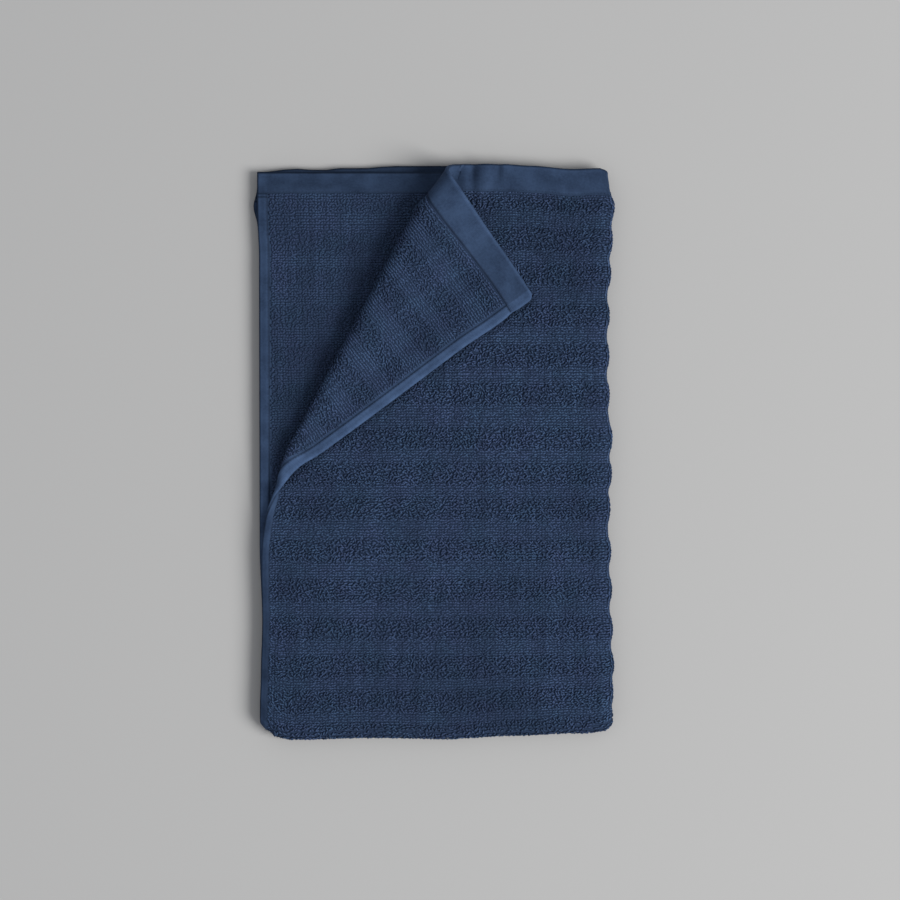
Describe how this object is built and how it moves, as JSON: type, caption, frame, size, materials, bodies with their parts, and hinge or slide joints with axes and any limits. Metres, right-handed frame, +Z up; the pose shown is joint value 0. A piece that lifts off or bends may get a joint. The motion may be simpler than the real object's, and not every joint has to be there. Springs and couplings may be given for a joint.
{
  "type": "bath towel",
  "caption": "Bath towel of ribbed terry cotton, folded in half along its length and across it, with one corner of the top layer turned over.",
  "frame": {"origin": "middle of the folded towel's outline, on the surface that it lies on", "axes": "+X across the folded towel towards its lengthwise fold, +Y along it towards its end hems, +Z up"},
  "size_m": [0.3609, 0.5779, 0.0445],
  "materials": {
    "terry_cotton": "navy cotton terry, matt looped pile with flat-woven hems"
  },
  "bodies": {
    "root": {"bath_towel": "terry_cotton"}
  },
  "joints": []
}
